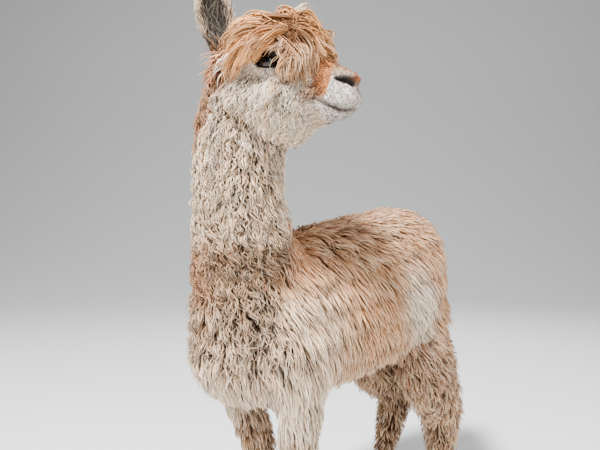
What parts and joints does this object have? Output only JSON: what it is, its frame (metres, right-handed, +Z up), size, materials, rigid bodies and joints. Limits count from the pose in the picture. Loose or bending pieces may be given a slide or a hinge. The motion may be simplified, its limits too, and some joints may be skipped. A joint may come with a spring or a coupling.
{
  "type": "alpaca",
  "caption": "Life-size standing suri alpaca in full fleece, head turned back over its left shoulder, as a still museum-like model.",
  "frame": {"origin": "on the ground under the middle of the model's box", "axes": "-Y the way the body faces, +X the animal's left, +Z up"},
  "size_m": [0.4814, 0.9109, 1.3887],
  "materials": {
    "fleece_cream": "matt wool in locks",
    "fleece_fawn": "matt wool in locks",
    "fleece_rose": "matt wool in locks",
    "fleece_brown": "matt wool in tufts",
    "fleece_orange": "loose silky wool",
    "fur_grey": "short soft fur",
    "eye": "wet gloss",
    "toenail": "worn satin horn"
  },
  "bodies": {
    "root": {"head": "fleece_cream", "topknot": "fleece_orange", "ear_left": "fur_grey", "ear_right": "fur_grey", "eye_left": "eye", "eye_right": "eye", "neck": "fleece_cream", "trunk": "fleece_fawn", "tail": "fleece_rose", "foreleg_left_upper": "fleece_cream", "foreleg_left_lower": "fleece_brown", "forefoot_left": "fleece_brown", "forefoot_left_nail_left": "toenail", "forefoot_left_nail_right": "toenail", "foreleg_right_upper": "fleece_cream", "foreleg_right_lower": "fleece_brown", "forefoot_right": "fleece_brown", "forefoot_right_nail_left": "toenail", "forefoot_right_nail_right": "toenail", "hindleg_left_upper": "fleece_rose", "hindleg_left_lower": "fleece_brown", "hindfoot_left": "fleece_brown", "hindfoot_left_nail_left": "toenail", "hindfoot_left_nail_right": "toenail", "hindleg_right_upper": "fleece_rose", "hindleg_right_lower": "fleece_brown", "hindfoot_right": "fleece_brown", "hindfoot_right_nail_left": "toenail", "hindfoot_right_nail_right": "toenail"}
  },
  "joints": []
}
